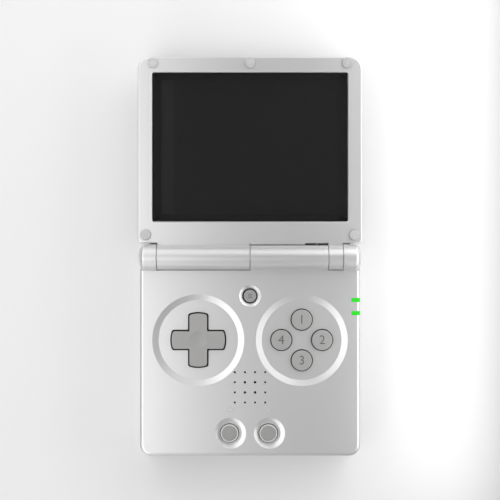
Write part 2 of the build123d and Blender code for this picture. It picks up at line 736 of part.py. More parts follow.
def hinge_centre_pin():
    """Pin fixed in the base's middle knuckle, on which the lid's left knuckle turns."""
    return along_x(CENTRE_PIN_R, (-5.0, 8.0))


def hinge_sleeve():
    """Short tube fixed in the right cap, on which the lid's right knuckle turns. The display cable's way in."""
    return along_x(SLEEVE_R, (34.2, CAP_BORE_END)) - along_x(SLEEVE_R - 0.6, (34.0, CAP_BORE_END - 1))


# ---------------------------------------------------------------- lid


def bumper_places():
    return FAR_BUMPERS + MIDDLE_BUMPER + NEAR_BUMPERS


def lid_bezel():
    """Frame round the screen, with the lid's side walls, the glass ledge and two hinge knuckles."""
    shell = lid_block((LID_SPLIT, LID_FACE))
    shell = fillet(top_edges(shell), LID_FACE_EDGE)
    shell = chamfer(bottom_edges(shell), SEAM)
    shell -= lid_block((LID_SPLIT - 1, LID_FACE - LID_PLATE), WALL)
    ledge = (WINDOW[0] + 3.0, WINDOW[1] + 3.0)
    shell += pane(ledge, 0, SCREEN_Y, (LEDGE_BOTTOM, LID_FACE - 0.5), 1.5)
    shell -= pane(WINDOW, 0, SCREEN_Y, (LEDGE_TOP, LID_FACE + 1), WINDOW_CORNER)
    rim_size = (WINDOW[0] + 2 * WINDOW_RIM, WINDOW[1] + 2 * WINDOW_RIM)
    rim_z = (LID_FACE - WINDOW_RIM, LID_FACE + 1)
    rim = pane(rim_size, 0, SCREEN_Y, rim_z, WINDOW_CORNER + WINDOW_RIM)
    shell -= chamfer(bottom_edges(rim), WINDOW_RIM - 0.01)
    shell -= pane(SIGHT, 0, SCREEN_Y, (LEDGE_BOTTOM - 1, LID_FACE), 0.5)
    lip_z = (LID_SPLIT - LIP_HEIGHT, LID_SPLIT + 0.5)
    shell += lid_block(lip_z, LIP + FIT) - lid_block((lip_z[0] - 1, lip_z[1] + 1), WALL)
    for x, distance in bumper_places():
        y = HINGE_Y + distance
        shell += disc(2.6, x, y, (LID_SPLIT + 0.2, LID_FACE - 0.5)) & lid_block((0, LID_FACE), 0.3)
        shell -= disc(BUMPER_R + FIT, x, y, (LID_FACE - BUMPER_POCKET, LID_FACE + 1))
        shell -= disc(1.7, x, y, (LID_FACE - 1.9, LID_FACE))
        shell -= disc(0.95, x, y, (0, LID_FACE))
    lip = block(NEAR_LIP_X, (LID_NEAR - NEAR_LIP, LID_NEAR + 1), (LID_SPLIT + 0.4, LID_FACE))
    shell += chamfer(top_edges(lip).group_by(Axis.Y)[0], 0.25)
    for x in (LEFT_KNUCKLE_X, RIGHT_KNUCKLE_X):
        web = block(x, (HINGE_Y, LID_NEAR + WALL), (LID_SPLIT + 0.2, LID_FACE))
        room = block((-50, 50), (LID_NEAR + WALL, LID_FAR), (0, LID_FACE - LID_PLATE))
        shell += along_x(KNUCKLE_R, x) + (web - room)
    shell -= along_x(CARTRIDGE_R, (LEFT_KNUCKLE_X[0], -14.0))
    shell -= along_x(CENTRE_PIN_R + RUNNING, (-6.0, LEFT_KNUCKLE_X[1]))
    shell -= along_x(SLEEVE_R + RUNNING, RIGHT_KNUCKLE_X)
    cable_z = (HINGE_Z - 2.7, HINGE_Z - 1.7)
    shell -= block((31.8, 34.0), (HINGE_Y, LID_NEAR + WALL + 2), cable_z)
    return shell


def lid_back_shell():
    """Outer cover of the lid with rounded edges and five screw bosses."""
    shell = lid_block((LID_BACK, LID_SPLIT))
    shell = fillet(bottom_edges(shell), LID_BACK_EDGE)
    shell = chamfer(top_edges(shell), SEAM)
    shell -= lid_block((LID_BACK + LID_PLATE, LID_SPLIT + 1), WALL)
    shell -= lid_block((LID_SPLIT - LIP_HEIGHT - 0.1, LID_SPLIT + 1), LIP)
    inside = lid_block((LID_BACK + LID_PLATE, LID_SPLIT - LIP_HEIGHT - 0.1), WALL - 0.2)
    for x, distance in bumper_places():
        y = HINGE_Y + distance
        boss = disc(1.9, x, y, (LID_BACK + LID_PLATE, LID_SPLIT - LIP_HEIGHT - 0.1))
        shell += boss & inside
        shell -= disc(0.8, x, y, (LID_BACK + LID_PLATE - 0.4, LID_SPLIT))
    return shell


def screen_glass():
    size = (WINDOW[0] - 2 * GLASS_GAP, WINDOW[1] - 2 * GLASS_GAP)
    glass = pane(size, 0, SCREEN_Y, (GLASS_TOP - GLASS_THICKNESS, GLASS_TOP), WINDOW_CORNER - GLASS_GAP)
    return chamfer(top_edges(glass), 0.15)


def glass_tape():
    """Black adhesive frame under the glass."""
    z = (LEDGE_TOP, LEDGE_TOP + TAPE)
    outer = pane((WINDOW[0] - 0.6, WINDOW[1] - 0.6), 0, SCREEN_Y, z, 0.6)
    return outer - pane(SIGHT, 0, SCREEN_Y, (z[0] - 1, z[1] + 1), 0.5)


def lcd_panel():
    return pane(LCD_OUTLINE, 0, SCREEN_Y, (LCD_TOP - LCD_CELL, LCD_TOP), 0.4)


def lcd_backlight():
    """Light guide and its tray behind the display cell."""
    z = (LCD_TOP - LCD_CELL - LCD_TRAY, LCD_TOP - LCD_CELL)
    return pane(LCD_OUTLINE, 0, SCREEN_Y, z, 0.6)


def lcd_foam_pads():
    """Foam strips that press the display forward against the bezel."""
    z = (LID_BACK + LID_PLATE, LCD_TOP - LCD_CELL - LCD_TRAY)
    return group([centred((6, 50), side * 30, SCREEN_Y, z) for side in (-1, 1)])


def bumpers(places, edge):
    z = (LID_FACE - BUMPER_POCKET, LID_FACE + BUMPER_PROUD)
    pads = [disc(BUMPER_R, x, HINGE_Y + distance, z) for x, distance in places]
    return group([fillet(top_edges(pad), edge) for pad in pads])


def lid_screws():
    screws = []
    for x, distance in bumper_places():
        y = HINGE_Y + distance
        head = disc(1.6, x, y, (LID_FACE - 1.9, LID_FACE - 0.8))
        slot = (LID_FACE - 1.3, LID_FACE)
        head -= centred((2.0, 0.45), x, y, slot) + centred((0.45, 2.0), x, y, slot)
        screws.append(head + disc(0.8, x, y, (LID_BACK + LID_PLATE, LID_FACE - 1.9)))
    return group(screws)


def lid_magnet():
    """Magnet that tells the base the lid is shut."""
    y = HINGE_Y + BASE_REACH - 6.0
    return block((-34.5, -31.5), (y + 2.2, y + 3.8), (LID_BACK + LID_PLATE, LID_BACK + LID_PLATE + 1.0))


def display_cable_lid():
    """Flat cable from the display to the hinge, ending in a roll round the hinge axis."""
    roll = along_x(2.4, (31.9, 33.9)) - along_x(2.15, (31, 35))
    x = (31.9, 33.9)
    y = (HINGE_Y, 10.6, SCREEN_Y - LCD_OUTLINE[1] / 2)
    z = (LCD_TOP - 1.0, HINGE_Z - 2.4)
    run = block(x, (y[0], y[1]), (z[1], z[1] + 0.2))
    drop = block(x, (y[1] - 0.2, y[1]), (z[0], z[1] + 0.2))
    tail = block(x, (y[1] - 0.2, y[2]), (z[0], z[0] + 0.2))
    return roll + run + drop + tail


def display_cable_base():
    """The same cable's other end: a roll in the middle knuckle and a strip down to the board."""
    roll = along_x(2.4, (18.0, 30.5)) - along_x(2.15, (17, 31))
    strip = block((18.0, 26.0), (HINGE_Y - 0.1, HINGE_Y + 0.1), (BOARD_TOP + 0.2, HINGE_Z - 2.2))
    foot = block((18.0, 26.0), (HINGE_Y - 7.0, HINGE_Y + 0.1), (BOARD_TOP, BOARD_TOP + 0.2))
    return roll + strip + foot


# ---------------------------------------------------------------- every node, by body

BASE_NODES = {
    "base_top_shell": base_top_shell,
    "base_bottom_shell": base_bottom_shell,
    "battery_door": battery_door,
    "battery_pack": battery_pack,
    "main_board": main_board,
    "processor_shield": processor_shield,
    "speaker": speaker,
    "speaker_gasket": speaker_gasket,
    "grille_cloth": grille_cloth,
    "dpad_membrane": dpad_membrane,
    "face_button_membrane": face_button_membrane,
    "start_select_membrane": start_select_membrane,
    "menu_switch": menu_switch,
    "side_switches": side_switches,
    "shoulder_boards": shoulder_boards,
    "usb_port": usb_port,
    "headphone_jack": headphone_jack,
    "card_sockets": card_sockets,
    "led_light_pipes": led_light_pipes,
    "led_chips": led_chips,
    "hall_sensor": hall_sensor,
    "base_screws": base_screws,
    "battery_door_screw": battery_door_screw,
    "feet": feet,
    "hinge_cap_left": lambda: hinge_cap(-1),
    "hinge_cap_right": lambda: hinge_cap(1),
    "hinge_shaft": hinge_shaft,
    "hinge_centre_pin": hinge_centre_pin,
    "hinge_sleeve": hinge_sleeve,
    "display_cable_base": display_cable_base,
}

CONTROL_NODES = {
    "dpad_pivot": dpad_pivot,
    "dpad": dpad,
    "face_button_right": lambda: face_button("right"),
    "face_button_near": lambda: face_button("near"),
    "face_button_left": lambda: face_button("left"),
    "face_button_far": lambda: face_button("far"),
    "start_button": lambda: start_button(1),
    "select_button": lambda: start_button(-1),
    "menu_button": menu_button,
    "shoulder_inner_left": lambda: shoulder_button(SHOULDERS_X[0], -1),
    "shoulder_outer_left": lambda: shoulder_button(SHOULDERS_X[1], -1),
    "shoulder_inner_right": lambda: shoulder_button(SHOULDERS_X[0], 1),
    "shoulder_outer_right": lambda: shoulder_button(SHOULDERS_X[1], 1),
    "power_button": power_button,
    "volume_rocker": volume_rocker,
}

LID_NODES = {
    "lid_bezel": lid_bezel,
    "lid_back_shell": lid_back_shell,
    "screen_glass": screen_glass,
    "glass_tape": glass_tape,
    "lcd_panel": lcd_panel,
    "lcd_backlight": lcd_backlight,
    "lcd_foam_pads": lcd_foam_pads,
    "lid_bumpers_far": lambda: bumpers(FAR_BUMPERS + MIDDLE_BUMPER, 0.4),
    "lid_bumpers_near": lambda: bumpers(NEAR_BUMPERS, 0.15),
    "lid_screws": lid_screws,
    "lid_magnet": lid_magnet,
    "hinge_cartridge": hinge_cartridge,
    "hinge_friction_washers": hinge_friction_washers,
    "hinge_disc_springs": hinge_disc_springs,
    "display_cable_lid": display_cable_lid,
}

os.makedirs("parts", exist_ok=True)
for nodes in (BASE_NODES, CONTROL_NODES, LID_NODES):
    for name, make in nodes.items():
        export_step(make(), f"parts/{name}.step")
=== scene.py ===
# %% [markdown]
# # A silver clamshell game, open flat
#
# The engineering model fixes where every part is and how it moves. This lesson gives those parts their
# looks. It keeps the parts whose shape is already right and gives them real finishes, and it remodels the
# small parts that a hand or an eye comes close to: keys, the cover glass, rubber bumpers and feet. It adds
# what the engineering model leaves out: printed figures and signs, and the metal inside the sockets.

# %% Load the frame
import math

import bmesh
import bpy
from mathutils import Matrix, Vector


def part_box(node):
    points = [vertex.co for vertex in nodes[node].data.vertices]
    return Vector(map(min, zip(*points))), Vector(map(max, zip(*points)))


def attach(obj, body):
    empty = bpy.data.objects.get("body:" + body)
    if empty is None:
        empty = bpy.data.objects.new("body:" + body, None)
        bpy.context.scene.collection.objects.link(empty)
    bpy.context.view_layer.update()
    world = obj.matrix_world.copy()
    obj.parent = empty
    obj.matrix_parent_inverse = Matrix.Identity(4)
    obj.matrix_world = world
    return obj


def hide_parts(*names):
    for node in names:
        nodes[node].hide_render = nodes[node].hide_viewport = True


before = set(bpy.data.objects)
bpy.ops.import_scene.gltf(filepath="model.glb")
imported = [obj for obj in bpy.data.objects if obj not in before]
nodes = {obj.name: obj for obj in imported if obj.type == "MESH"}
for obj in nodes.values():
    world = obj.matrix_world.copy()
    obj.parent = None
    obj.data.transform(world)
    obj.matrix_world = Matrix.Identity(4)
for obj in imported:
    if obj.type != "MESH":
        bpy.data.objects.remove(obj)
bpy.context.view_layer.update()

# %% [markdown]
# Everything is in metres, and most of this object is a few millimetres across, so lengths are written as
# a number times `mm`. Places come from the boxes of the frame's own nodes: the screen's centre is the
# glass's centre, and the face of the base is as high as the tops of the status lights, which lie flush
# with it.

# %% Places read from the frame
mm = 0.001


def middle(node):
    """Centre of a node's box."""
    low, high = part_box(node)
    return (low + high) / 2


GLASS_LOW, GLASS_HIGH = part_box("screen_glass")
SCREEN = middle("screen_glass")
FACE_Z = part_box("led_light_pipes")[1].z
HINGE = middle("hinge_shaft")
DISH_DEPTH = 1.03 * mm
print("screen centre", tuple(round(v / mm, 2) for v in SCREEN), "face height", round(FACE_Z / mm, 2))

# %% [markdown]
# ## Finishes
#
# A finish is a Principled shader whose colour, gloss and tiny relief vary over the surface at the scale
# of the real thing. Sums on node sockets are easier to read as sums, so `Wire` wraps a socket and lets
# Python's own signs add the Math nodes. `Finish` holds one material, and its one method `node` adds any
# other node: first its settings, then what goes into its sockets.


# %% Arithmetic on sockets
class Wire:
    """A node's output that understands + - * / < > and abs()."""

    def __init__(self, finish, socket):
        self.finish = finish
        self.socket = socket

    def _math(self, operation, first, second=0.0):
        return self.finish.node("ShaderNodeMath", {"operation": operation}, {0: first, 1: second})

    def __add__(self, other):
        return self._math("ADD", self, other)

    def __radd__(self, other):
        return self._math("ADD", other, self)

    def __sub__(self, other):
        return self._math("SUBTRACT", self, other)

    def __rsub__(self, other):
        return self._math("SUBTRACT", other, self)

    def __mul__(self, other):
        return self._math("MULTIPLY", self, other)

    def __rmul__(self, other):
        return self._math("MULTIPLY", other, self)

    def __truediv__(self, other):
        return self._math("DIVIDE", self, other)

    def __gt__(self, other):
        return self._math("GREATER_THAN", self, other)

    def __lt__(self, other):
        return self._math("LESS_THAN", self, other)

    def __abs__(self):
        return self._math("ABSOLUTE", self)

    def fraction(self):
        """The part after the decimal point, which repeats a pattern."""
        return self._math("FRACT", self)


class Finish:
    """One material under construction."""

    def __init__(self, name, constants):
        self.material = bpy.data.materials.new(name)
        self.material.use_nodes = True
        self.tree = self.material.node_tree
        self.shader = self.tree.nodes["Principled BSDF"]
        for socket, value in constants.items():
            self.shader.inputs[socket].default_value = value
        self.coords = self.node("ShaderNodeTexCoord", output="Object")

    def node(self, kind, settings=None, inputs=None, output=0):
        """Add any node: its settings first, then the values or links of its inputs."""
        made = self.tree.nodes.new(kind)
        for setting, value in (settings or {}).items():
            setattr(made, setting, value)
        for socket, value in (inputs or {}).items():
            self.feed(made.inputs[socket], value)
        return Wire(self, made.outputs[output])

    def feed(self, socket, value):
        """Link a wire to a socket, or set a plain value on it."""
        if isinstance(value, Wire):
            self.tree.links.new(value.socket, socket)
        else:
            socket.default_value = value

    def use(self, **sockets):
        """Feed the shader: use(Base_Color=..., Roughness=...)."""
        for name, value in sockets.items():
            self.feed(self.shader.inputs[name.replace("_", " ")], value)
        return self.material

    def axes(self):
        """X, Y and Z of the point being shaded, in metres."""
        split = self.node("ShaderNodeSeparateXYZ", inputs={0: self.coords})
        outputs = split.socket.node.outputs
        return [Wire(self, outputs[axis]) for axis in ("X", "Y", "Z")]

    def grain(self, size, detail=2.0, stretch=None):
        """Noise from 0 to 1 whose blotches are about size across, drawn out along an axis if asked."""
        coords = self.coords
        if stretch:
            coords = self.node("ShaderNodeMapping", inputs={"Vector": coords, "Scale": stretch})
        return self.node("ShaderNodeTexNoise", inputs={"Vector": coords, "Scale": 1 / size, "Detail": detail})

    def blend(self, factor, first, second):
        """Mix two colours."""
        return self.node("ShaderNodeMix", {"data_type": "RGBA"}, {0: factor, 6: first, 7: second}, output=2)

    def soft_edges(self, radius):
        """A normal that rounds every sharp edge by a small radius, as a mould does."""
        return self.node("ShaderNodeBevel", {"samples": 6}, {"Radius": radius})

    def edge_mask(self, rounded):
        """1 on rounded edges and 0 on flats, from how far the rounded normal leans."""
        flat = self.node("ShaderNodeNewGeometry", output="Normal")
        product = {"operation": "DOT_PRODUCT"}
        agree = self.node("ShaderNodeVectorMath", product, {0: rounded, 1: flat}, output="Value")
        clamped = {"operation": "MULTIPLY", "use_clamp": True}
        return self.node("ShaderNodeMath", clamped, {0: 1 - agree, 1: 4.0})

    def relief(self, height, depth, normal=None):
        """Bump: height from 0 to 1 stands for depth in metres."""
        inputs = {"Height": height, "Distance": depth, "Strength": 1.0}
        if normal:
            inputs["Normal"] = normal
        return self.node("ShaderNodeBump", inputs=inputs)

    def inside(self, x, y, centre, half_width, half_depth):
        """1 within a rectangle seen from above."""
        return (abs(x - centre.x) < half_width) * (abs(y - centre.y) < half_depth)


def grey(value, warmth=0.0):
    """A colour for the shader from one brightness."""
    return (value * (1 + warmth), value, value * (1 - warmth), 1.0)


# %% [markdown]
# ### Sprayed silver
#
# The shells are plastic, sprayed with a satin silver: a mist of aluminium flakes under a thin clear coat.
# Up close the flakes glint, so the colour and the roughness vary at a tenth of a millimetre. Over a
# centimetre the spray is a little thicker here and there. Moulded edges are rounded, and on them the coat
# is thinner and a little lighter from handling. A Bevel node rounds them for the light, and comparing its
# normal with the true one says where the edges are. The spray does not reach down into the gaps round the
# keys, so below the level of the dishes the plastic is bare and matt. Its colour there is painted near black,
# for the bare plastic and as painted shade in the gaps.


# %% Silver for the shells
def satin_silver(name, brightness, bare_and_shaded_gaps=False):
    f = Finish(name, {"Coat Roughness": 0.16, "Coat IOR": 1.45, "Coat Weight": 0.25})
    flakes = f.grain(0.10 * mm, 3.0)
    mist = f.grain(14 * mm, 2.0)
    peel = f.grain(0.9 * mm, 1.0)
    rounded = f.soft_edges(0.14 * mm)
    edges = f.edge_mask(rounded)
    base = f.blend(flakes, grey(brightness * 0.94), grey(brightness * 1.04))
    base = f.blend(mist * 0.3, base, grey(brightness * 0.95, 0.004))
    base = f.blend(edges * 0.35, base, grey(brightness * 1.12))
    # Near-black gap walls: partly bare plastic, partly painted shade in the gaps round the keys.
    bare_and_shade = bare_and_shaded_below_the_face(f) if bare_and_shaded_gaps else 0.0
    return f.use(
        Base_Color=f.blend(bare_and_shade, base, grey(0.02)),
        Metallic=(0.9 - edges * 0.2) * (1 - bare_and_shade),
        Roughness=0.40 + flakes * 0.06 + mist * 0.03 + bare_and_shade * 0.3,
        Normal=f.relief(peel * 0.7 + flakes * 0.3, 0.0009 * mm, rounded),
    )


def bare_and_shaded_below_the_face(f):
    """1 on the walls of the key openings, painted near black as bare plastic and painted shade: over the
    board, just below the dishes, clear of the hinge.
    """
    x, y, z = f.axes()
    low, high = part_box("main_board")
    half_width = high.x - 1 * mm
    in_front = (y > low.y) * (y < HINGE.y - 9 * mm)
    dish_floor = FACE_Z - DISH_DEPTH
    level = (z < dish_floor) * (z > dish_floor - 1.4 * mm)
    return (abs(x) < half_width) * in_front * level


silver_face = satin_silver("satin_silver_face", 0.72, bare_and_shaded_gaps=True)
silver = satin_silver("satin_silver_paint", 0.72)
silver_hidden_side = satin_silver("satin_silver_lower", 0.70)
print("silver has", len(silver_face.node_tree.nodes), "nodes")

# %% [markdown]
# ### Plain plastics and rubbers
#
# Keys are grey plastic coloured right through. The mould was spark-eroded, which leaves a fine matt grain.
# Bumpers and feet are rubber with a softer, cloudier surface. One recipe makes them all, with the grain's
# size, its depth and the gloss as its dials. A key also has a level below which its colour is painted near
# black: painted shade on the part down in its gap.


# %% Moulded plastics and rubbers
def moulded(name, colour, roughness, grain_size=0.12 * mm, grain_depth=0.004 * mm, painted_shade_below=None):
    f = Finish(name, {"Specular IOR Level": 0.5})
    grain = f.grain(grain_size, 2.0)
    cloud = f.grain(5 * mm, 2.0)
    rounded = f.soft_edges(0.12 * mm)
    edges = f.edge_mask(rounded)
    darker = tuple(c * 0.9 for c in colour[:3]) + (1.0,)
    lighter = tuple(min(c * 1.18 + 0.01, 1.0) for c in colour[:3]) + (1.0,)
    base = f.blend(grain * 0.4 + cloud * 0.3, colour, darker)
    base = f.blend(edges * 0.5, base, lighter)
    if painted_shade_below:
        z = f.axes()[2]
        # Painted shade: below this level the colour goes near black, down in the key's gap.
        base = f.blend(z < painted_shade_below, base, grey(0.012))
    return f.use(
        Base_Color=base,
        Roughness=roughness + grain * 0.06 - edges * 0.08,
        Normal=f.relief(grain, grain_depth, rounded),
    )


GAP_LEVEL = FACE_Z - 0.9 * mm
key_grey = moulded("key_plastic", grey(0.335, 0.01), 0.40, painted_shade_below=GAP_LEVEL)
small_key_grey = moulded("small_key_plastic", grey(0.30, 0.01), 0.42, painted_shade_below=GAP_LEVEL)
side_key_grey = moulded("side_key_plastic", grey(0.34, 0.02), 0.44)
# One rubber for all pads: the two darker greys below are painted shade for pads that lie in less light.
bumper_grey = moulded("bumper_rubber", grey(0.57), 0.55, 0.2 * mm)
bumper_grey_painted_shade = moulded("bumper_rubber_painted_shade", grey(0.50), 0.58, 0.2 * mm)
bumper_grey_painted_deep_shade = moulded("bumper_rubber_painted_deep_shade", grey(0.43), 0.60, 0.2 * mm)
# Painted highlight: the pale grey of the start and select rims stands for the light they catch; below its
# level, painted shade.
rim_highlight_grey = moulded("key_ring_painted_highlight", grey(0.60, 0.01), 0.36, painted_shade_below=FACE_Z - 0.6 * mm)
foot_rubber = moulded("foot_rubber", grey(0.035), 0.72, 0.15 * mm, 0.01 * mm)
silicone = moulded("key_membrane_silicone", grey(0.30), 0.5, 0.3 * mm)
black_plastic = moulded("black_plastic", grey(0.018), 0.45)
black_foam = moulded("black_foam", grey(0.022), 0.95, 0.25 * mm, 0.05 * mm)
white_plastic = moulded("white_plastic", grey(0.75, 0.01), 0.45)
amber_film = moulded("flat_cable_film", (0.55, 0.26, 0.05, 1.0), 0.25, 0.4 * mm, 0.001 * mm)
label_ink = moulded("key_ink", grey(0.10), 0.6)
faint_ink = moulded("faint_ink", grey(0.50), 0.5)
print(len(bpy.data.materials), "materials so far")

# %% [markdown]
# ### Metals
#
# Stamped steel parts carry fine rolling marks along one direction, and plated screws are darker with
# slight stains. A noise stretched along one axis gives the marks, in gloss as well as in relief.


# %% Steel, dark steel and battery foil
def rolled_metal(name, colour, roughness, marks=0.08 * mm):
    f = Finish(name, {"Metallic": 1.0})
    lines = f.grain(marks, 2.0, stretch=(0.05, 1.0, 1.0))
    stain = f.grain(3 * mm, 3.0)
    darker = tuple(c * 0.72 for c in colour[:3]) + (1.0,)
    return f.use(
        Base_Color=f.blend(lines * 0.4 + stain * 0.4, colour, darker),
        Roughness=roughness + lines * 0.14 + stain * 0.08,
        Normal=f.relief(lines, 0.002 * mm, f.soft_edges(0.06 * mm)),
    )


steel = rolled_metal("plated_steel", grey(0.62, 0.01), 0.24)
dark_steel = rolled_metal("black_zinc_screw", grey(0.09), 0.34, 0.15 * mm)
contact_gold = rolled_metal("contact_plating", (0.83, 0.62, 0.28, 1.0), 0.22)


def battery_skin():
    """Aluminium laminate, slightly dented over a millimetre or two."""
    f = Finish("battery_laminate", {"Metallic": 0.9})
    dents = f.grain(2.5 * mm, 2.0)
    fine = f.grain(0.2 * mm, 1.0)
    return f.use(
        Base_Color=f.blend(fine, grey(0.42), grey(0.5, 0.01)),
        Roughness=0.3 + fine * 0.12,
        Normal=f.relief(dents, 0.05 * mm),
    )


laminate = battery_skin()
print("metals:", steel.name, dark_steel.name, contact_gold.name, laminate.name)

# %% [markdown]
# ### Circuit board and speaker cloth
#
# The board is green solder mask over copper tracks: tracks lie a hair higher and look lighter, on a
# regular grid with gaps. The cloth behind the speaker holes is a plain black weave, two sets of threads
# that take turns on top. Both patterns are repeats of the point's own coordinates.


# %% Board and cloth
def solder_mask():
    f = Finish("green_solder_mask", {"Coat Weight": 0.4, "Coat Roughness": 0.1})
    x, y = f.axes()[:2]
    pitch = 1.6 * mm
    tracks = ((x / pitch).fraction() < 0.22) * (f.grain(6 * mm, 1.0, (1.0, 0.2, 1.0)) > 0.5)
    cross_tracks = ((y / pitch).fraction() < 0.18) * (f.grain(6 * mm, 1.0, (0.2, 1.0, 1.0)) > 0.55)
    copper = f.node("ShaderNodeMath", {"operation": "MAXIMUM"}, {0: tracks, 1: cross_tracks})
    return f.use(
        Base_Color=f.blend(copper, (0.012, 0.10, 0.045, 1.0), (0.03, 0.22, 0.08, 1.0)),
        Roughness=0.35 + f.grain(0.3 * mm) * 0.1,
        Normal=f.relief(copper, 0.03 * mm),
    )


def speaker_cloth():
    f = Finish("speaker_cloth", {"Sheen Weight": 0.3})
    x, y = f.axes()[:2]
    thread = 0.22 * mm
    across = abs((x / thread).fraction() - 0.5)
    down = abs((y / thread).fraction() - 0.5)
    turn = ((x / (2 * thread)).fraction() < 0.5) * 2.0 - 1.0
    height = across * turn - down * turn
    # Painted shade in the weave: the colour is darker where the threads dip and lighter on their tops.
    return f.use(
        Base_Color=f.blend(height + 0.5, grey(0.006), grey(0.014)),
        Roughness=0.9 - f.grain(0.1 * mm) * 0.1,
        Normal=f.relief(height, 0.06 * mm),
    )


board_green = solder_mask()
cloth = speaker_cloth()
print("board has", len(board_green.node_tree.nodes), "nodes, cloth", len(cloth.node_tree.nodes))

# %% [markdown]
# ### The dark screen
#
# A switched-off display is never plain black. The glass has a black frame printed on its back. Behind it
# the display's active area is a shade lighter than the frame, because its polariser and its cells send a
# little light back. Two paler bars stand at its left edge, and a fine grid of cells runs over all of it.
# The glass itself is clear and only adds its gloss, with faint smears in its roughness. The print and the
# display lie against the glass, so they have next to no gloss of their own.

# %% Glass, printed frame and display
ACTIVE_HALF_WIDTH = 35.25 * mm
ACTIVE_HALF_DEPTH = 26.65 * mm
CELL_PITCH = 2 * ACTIVE_HALF_WIDTH / 640
WIDE_BAR = 4.8 * mm
NARROW_BAR = 2.9 * mm


def clear_glass():
    f = Finish("screen_cover_glass", {"Transmission Weight": 1.0, "IOR": 1.5})
    smears = f.grain(11 * mm, 3.0, (1.0, 0.35, 1.0))
    return f.use(
        Base_Color=f.blend(smears, grey(0.97), grey(0.94)),
        Roughness=0.015 + smears * 0.02,
        Normal=f.soft_edges(0.05 * mm),
    )


def printed_black():
    f = Finish("printed_black_frame", {"Specular IOR Level": 0.0})
    dust = f.grain(0.08 * mm)
    return f.use(Base_Color=f.blend(dust, grey(0.0185), grey(0.0210)), Roughness=0.4 + dust * 0.1)


def display_cell():
    f = Finish("display_cell", {"Specular IOR Level": 0.05})
    x, y = f.axes()[:2]
    active = f.inside(x, y, SCREEN, ACTIVE_HALF_WIDTH, ACTIVE_HALF_DEPTH)
    left = SCREEN.x - ACTIVE_HALF_WIDTH
    wide_bar = (x < left + WIDE_BAR) * 0.0066
    narrow_bar = (x < left + NARROW_BAR) * 0.0024
    grid = ((x / CELL_PITCH).fraction() < 0.16) + ((y / CELL_PITCH).fraction() < 0.16)
    cloud = f.grain(30 * mm, 1.0) * 0.002
    glow = active * (wide_bar + narrow_bar + cloud - grid * 0.0015)
    level = glow + 0.0215
    colour = f.node("ShaderNodeCombineColor", inputs={0: level, 1: level, 2: level * 1.02})
    return f.use(Base_Color=colour, Roughness=0.42 - active * 0.08, Normal=f.relief(grid, 0.003 * mm))


glass = clear_glass()
frame_black = printed_black()
cell = display_cell()
print("screen layers:", glass.name, frame_black.name, cell.name)

# %% [markdown]
# ### Status lights
#
# Two clear green bars carry light from the board to the edge of the shell. They glow evenly, a little
# brighter in the middle than at their rims. The glow hides most of the gloss, so there is hardly any.


# %% Green light
def lit_green():
    f = Finish("lit_green_plastic", {"Emission Strength": 0.77, "Specular IOR Level": 0.05})
    rounded = f.soft_edges(0.1 * mm)
    edges = f.edge_mask(rounded)
    swirl = f.grain(0.8 * mm)
    glow = f.blend(edges * 0.5 + swirl * 0.2, (0.055, 0.87, 0.045, 1.0), (0.03, 0.55, 0.02, 1.0))
    return f.use(
        Base_Color=(0.004, 0.1, 0.004, 1.0),
        Emission_Color=glow,
        Roughness=0.25 + swirl * 0.05,
        Normal=rounded,
    )


green = lit_green()
print(green.name, "glows")

# %% [markdown]
# ## Modelling by hand
#
# Every new piece starts as one of Blender's primitives at its place, opened in edit mode. `begin` applies
# that place at once, so the object's own origin is the frame's origin, where the parts of the frame have
# theirs. `pick` then selects faces, edges or points by a test on where they are or which way they look, as
# a click would, and an operator works on the selection. `round_corners` is the step that flat pieces share.
# `close_up` cleans the mesh, and gives the piece its finish and the body that it rides on.


# %% Helpers for modelling
def clear_selection():
    if bpy.context.mode != "OBJECT":
        bpy.ops.object.mode_set(mode="OBJECT")
    bpy.ops.object.select_all(action="DESELECT")


def begin(name, add, **how):
    """Add a primitive, name it and open it for editing."""
    clear_selection()
    add(**how)
    piece = bpy.context.active_object
    piece.name = name
    piece.data.name = name
    bpy.ops.object.transform_apply(location=True, rotation=True, scale=True)
    bpy.ops.object.mode_set(mode="EDIT")
    return piece


def pick(piece, kind, test):
    """Select only the FACE, EDGE or VERT elements that pass the test."""
    bpy.ops.mesh.select_mode(type=kind)
    bpy.ops.mesh.select_all(action="DESELECT")
    mesh = bmesh.from_edit_mesh(piece.data)
    elements = {"FACE": mesh.faces, "EDGE": mesh.edges, "VERT": mesh.verts}[kind]
    chosen = [element for element in elements if test(element)]
    for element in chosen:
        element.select_set(True)
    bmesh.update_edit_mesh(piece.data)
    return len(chosen)


def push(x=0.0, y=0.0, z=0.0):
    """Extrude the selection by a distance."""
    bpy.ops.mesh.extrude_region_move(TRANSFORM_OT_translate={"value": (x, y, z)})


def round_corners(piece, radius, steps):
    """Bevel the upright edges of a flat piece."""
    pick(piece, "EDGE", lambda e: abs((e.verts[0].co - e.verts[1].co).z) > 0.01 * mm)
    bpy.ops.mesh.bevel(offset=radius, segments=steps, affect="EDGES")


def close_up(piece, body, finish, replaces=(), smooth=35):
    """Finish a piece: clean mesh, outward faces, smooth shading, finish, and the body it rides on."""
    if bpy.context.mode == "OBJECT":
        clear_selection()
        piece.select_set(True)
        bpy.context.view_layer.objects.active = piece
        bpy.ops.object.mode_set(mode="EDIT")
    bpy.ops.mesh.select_mode(type="VERT")
    bpy.ops.mesh.select_all(action="SELECT")
    bpy.ops.mesh.remove_doubles(threshold=0.001 * mm)
    bpy.ops.mesh.normals_make_consistent(inside=False)
    bpy.ops.object.mode_set(mode="OBJECT")
    bpy.ops.object.shade_smooth_by_angle(angle=math.radians(smooth))
    piece.data.materials.clear()
    piece.data.materials.append(finish)
    if replaces:
        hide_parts(*replaces)
    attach(piece, body)
    print(piece.name, len(piece.data.polygons), "faces")
    return piece


